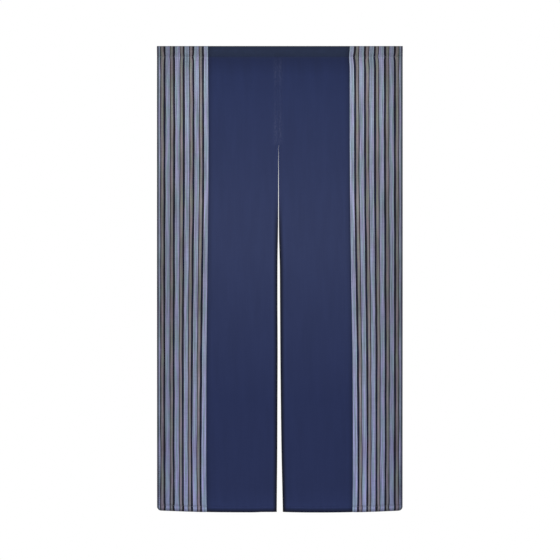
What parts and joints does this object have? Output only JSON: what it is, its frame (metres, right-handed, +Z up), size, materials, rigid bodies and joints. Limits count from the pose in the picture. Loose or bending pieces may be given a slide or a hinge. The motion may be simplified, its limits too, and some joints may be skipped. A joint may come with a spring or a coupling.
{
  "type": "noren curtain",
  "caption": "Split doorway curtain of plain cloth with a striped border down each outer side, a rod pocket along the top edge and a slit up the middle.",
  "frame": {"origin": "middle of the curtain's top edge, where the cloth goes over a rod", "axes": "+Z up, along the drop; +X to the right seen from the front; +Y to the back, so the front faces -Y"},
  "size_m": [0.792, 0.0322, 1.5],
  "materials": {
    "navy_cotton": "matt plain-woven cotton, navy",
    "striped_cotton": "matt slubby cotton, warp stripes of pale blue-grey, beige-grey and near-black"
  },
  "bodies": {
    "root": {"striped_border_left": "striped_cotton", "navy_panel_left": "navy_cotton", "navy_panel_right": "navy_cotton", "striped_border_right": "striped_cotton"}
  },
  "joints": []
}
